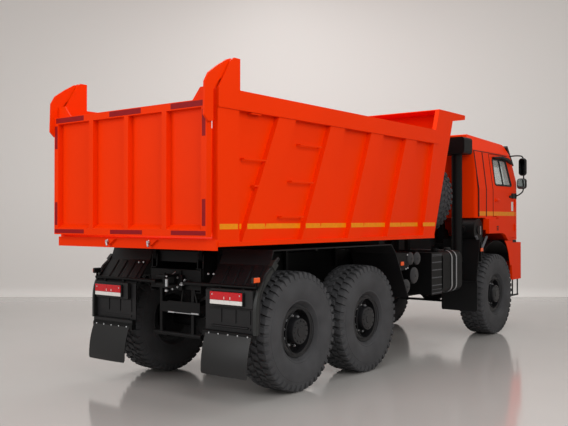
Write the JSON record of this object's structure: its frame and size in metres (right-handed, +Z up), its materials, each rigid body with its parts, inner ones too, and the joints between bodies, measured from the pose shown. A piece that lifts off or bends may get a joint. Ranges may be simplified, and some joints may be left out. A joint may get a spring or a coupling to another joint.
{
  "type": "dump truck",
  "caption": "Rear-tipping dump truck with all-wheel drive, ribbed steel body, top-hung tailgate, tilting cab with opening doors, steering front axle and telescopic hoist.",
  "frame": {"origin": "on the ground, in the middle of the truck's overall box", "axes": "+X is the truck's left, -Y is forward, +Z is up; the wheels stand on Z = 0"},
  "size_m": [2.87, 8.34, 3.5298],
  "materials": {
    "orange_paint": "gloss orange paint",
    "black_paint": "satin black paint",
    "frame_black": "semi-matt black chassis paint",
    "cast_metal": "painted castings",
    "dull_aluminium": "dull",
    "chromed_steel": "polished",
    "tyre_rubber": "matt",
    "flap_rubber": "matt",
    "black_plastic": "grained",
    "red_lens": "clear lens",
    "seat_fabric": "woven",
    "glass": "tinted clear"
  },
  "bodies": {
    "chassis": {"frame_rails": "frame_black", "crossmembers": "frame_black", "engine": "cast_metal", "driveline": "frame_black", "axle_beams": "frame_black", "suspension": "frame_black", "fuel_tank": "black_paint", "battery_box": "black_plastic", "muffler": "dull_aluminium", "air_tanks": "black_paint", "air_intake": "black_plastic", "spare_tyre": "tyre_rubber", "spare_rim": "black_paint", "spare_carrier": "frame_black", "subframe": "frame_black", "mudguards": "black_plastic", "mud_flaps": "flap_rubber", "underrun": "frame_black", "lamps": "red_lens", "tow_hitch": "frame_black", "bumper": "orange_paint", "steps_and_guards": "black_plastic"},
    "cab": {"cab_floor": "orange_paint", "cab_roof": "orange_paint", "cab_back": "orange_paint", "cab_sides": "orange_paint", "cab_front": "orange_paint", "windscreen": "glass", "seats": "seat_fabric", "dashboard": "black_plastic", "steering_wheel": "black_plastic", "sun_visor": "black_plastic", "mirrors": "black_plastic"},
    "door_left": {"door_left": "orange_paint", "door_glass_left": "glass"},
    "door_right": {"door_right": "orange_paint", "door_glass_right": "glass"},
    "knuckle_left": {"knuckle_left": "frame_black"},
    "knuckle_right": {"knuckle_right": "frame_black"},
    "tie_rod": {"tie_rod": "frame_black"},
    "bed": {"bed_floor": "orange_paint", "bed_sides": "orange_paint", "bed_front_wall": "orange_paint", "bed_underframe": "orange_paint"},
    "tailgate": {"tailgate": "orange_paint"},
    "hoist_barrel": {"hoist_barrel": "frame_black"},
    "hoist_stage": {"hoist_stage": "chromed_steel"},
    "hoist_rod": {"hoist_rod": "chromed_steel"},
    "wheel_front_left": {"tyre_front_left": "tyre_rubber", "rim_front_left": "black_paint"},
    "wheel_front_right": {"tyre_front_right": "tyre_rubber", "rim_front_right": "black_paint"},
    "wheel_mid_left": {"tyre_mid_left": "tyre_rubber", "rim_mid_left": "black_paint"},
    "wheel_mid_right": {"tyre_mid_right": "tyre_rubber", "rim_mid_right": "black_paint"},
    "wheel_rear_left": {"tyre_rear_left": "tyre_rubber", "rim_rear_left": "black_paint"},
    "wheel_rear_right": {"tyre_rear_right": "tyre_rubber", "rim_rear_right": "black_paint"}
  },
  "joints": [
    {"name": "cab_tilt", "type": "hinge", "parent": "chassis", "child": "cab", "pos_m": [0, -4.1, 1.2], "axis": [1, 0, 0], "range_deg": [0, 50]},
    {"name": "bed_tip", "type": "hinge", "parent": "chassis", "child": "bed", "pos_m": [0, 3.28, 1.5], "axis": [-1, 0, 0], "range_deg": [0, 50]},
    {"name": "tailgate_swing", "type": "hinge", "parent": "bed", "child": "tailgate", "pos_m": [0, 3.766, 3.451], "axis": [1, 0, 0], "range_deg": [0, 80]},
    {"name": "hoist_tilt", "type": "hinge", "parent": "chassis", "child": "hoist_barrel", "pos_m": [0, 0.45, 1], "axis": [1, 0, 0], "range_deg": [0, 20]},
    {"name": "hoist_stage_slide", "type": "slide", "parent": "hoist_barrel", "child": "hoist_stage", "axis": [0, 0.8526, 0.5226], "range_m": [0, 0.77]},
    {"name": "hoist_rod_slide", "type": "slide", "parent": "hoist_stage", "child": "hoist_rod", "axis": [0, 0.8526, 0.5226], "range_m": [0, 0.77]},
    {"name": "door_left_hinge", "type": "hinge", "parent": "cab", "child": "door_left", "pos_m": [1.162, -3.872, 2.3], "axis": [0, 0, -1], "range_deg": [0, 70]},
    {"name": "steer_left", "type": "hinge", "parent": "chassis", "child": "knuckle_left", "pos_m": [0.75, -2.96, 0.672], "axis": [0, 0, 1], "range_deg": [-28, 28]},
    {"name": "door_right_hinge", "type": "hinge", "parent": "cab", "child": "door_right", "pos_m": [-1.162, -3.872, 2.3], "axis": [0, 0, 1], "range_deg": [0, 70]},
    {"name": "steer_right", "type": "hinge", "parent": "chassis", "child": "knuckle_right", "pos_m": [-0.75, -2.96, 0.672], "axis": [0, 0, 1], "range_deg": [-28, 28]},
    {"name": "tie_rod_pivot", "type": "hinge", "parent": "knuckle_left", "child": "tie_rod", "pos_m": [0.75, -2.71, 0.519], "axis": [0, 0, 1], "range_deg": [-28, 28]},
    {"name": "spin_front_left", "type": "hinge", "parent": "knuckle_left", "child": "wheel_front_left", "pos_m": [1, -2.96, 0.672], "axis": [1, 0, 0], "continuous": true},
    {"name": "spin_front_right", "type": "hinge", "parent": "knuckle_right", "child": "wheel_front_right", "pos_m": [-1, -2.96, 0.672], "axis": [1, 0, 0], "continuous": true},
    {"name": "spin_mid_left", "type": "hinge", "parent": "chassis", "child": "wheel_mid_left", "pos_m": [1, 1.14, 0.672], "axis": [1, 0, 0], "continuous": true},
    {"name": "spin_mid_right", "type": "hinge", "parent": "chassis", "child": "wheel_mid_right", "pos_m": [-1, 1.14, 0.672], "axis": [1, 0, 0], "continuous": true},
    {"name": "spin_rear_left", "type": "hinge", "parent": "chassis", "child": "wheel_rear_left", "pos_m": [1, 2.58, 0.672], "axis": [1, 0, 0], "continuous": true},
    {"name": "spin_rear_right", "type": "hinge", "parent": "chassis", "child": "wheel_rear_right", "pos_m": [-1, 2.58, 0.672], "axis": [1, 0, 0], "continuous": true}
  ],
  "couplings": [
    {"joint": "hoist_tilt", "follows": "bed_tip", "ratio": 0.37541},
    {"joint": "hoist_stage_slide", "follows": "bed_tip", "m_per_rad": 0.8653},
    {"joint": "hoist_rod_slide", "follows": "bed_tip", "m_per_rad": 0.8653},
    {"joint": "steer_right", "follows": "steer_left", "ratio": 1},
    {"joint": "tie_rod_pivot", "follows": "steer_left", "ratio": -1}
  ]
}
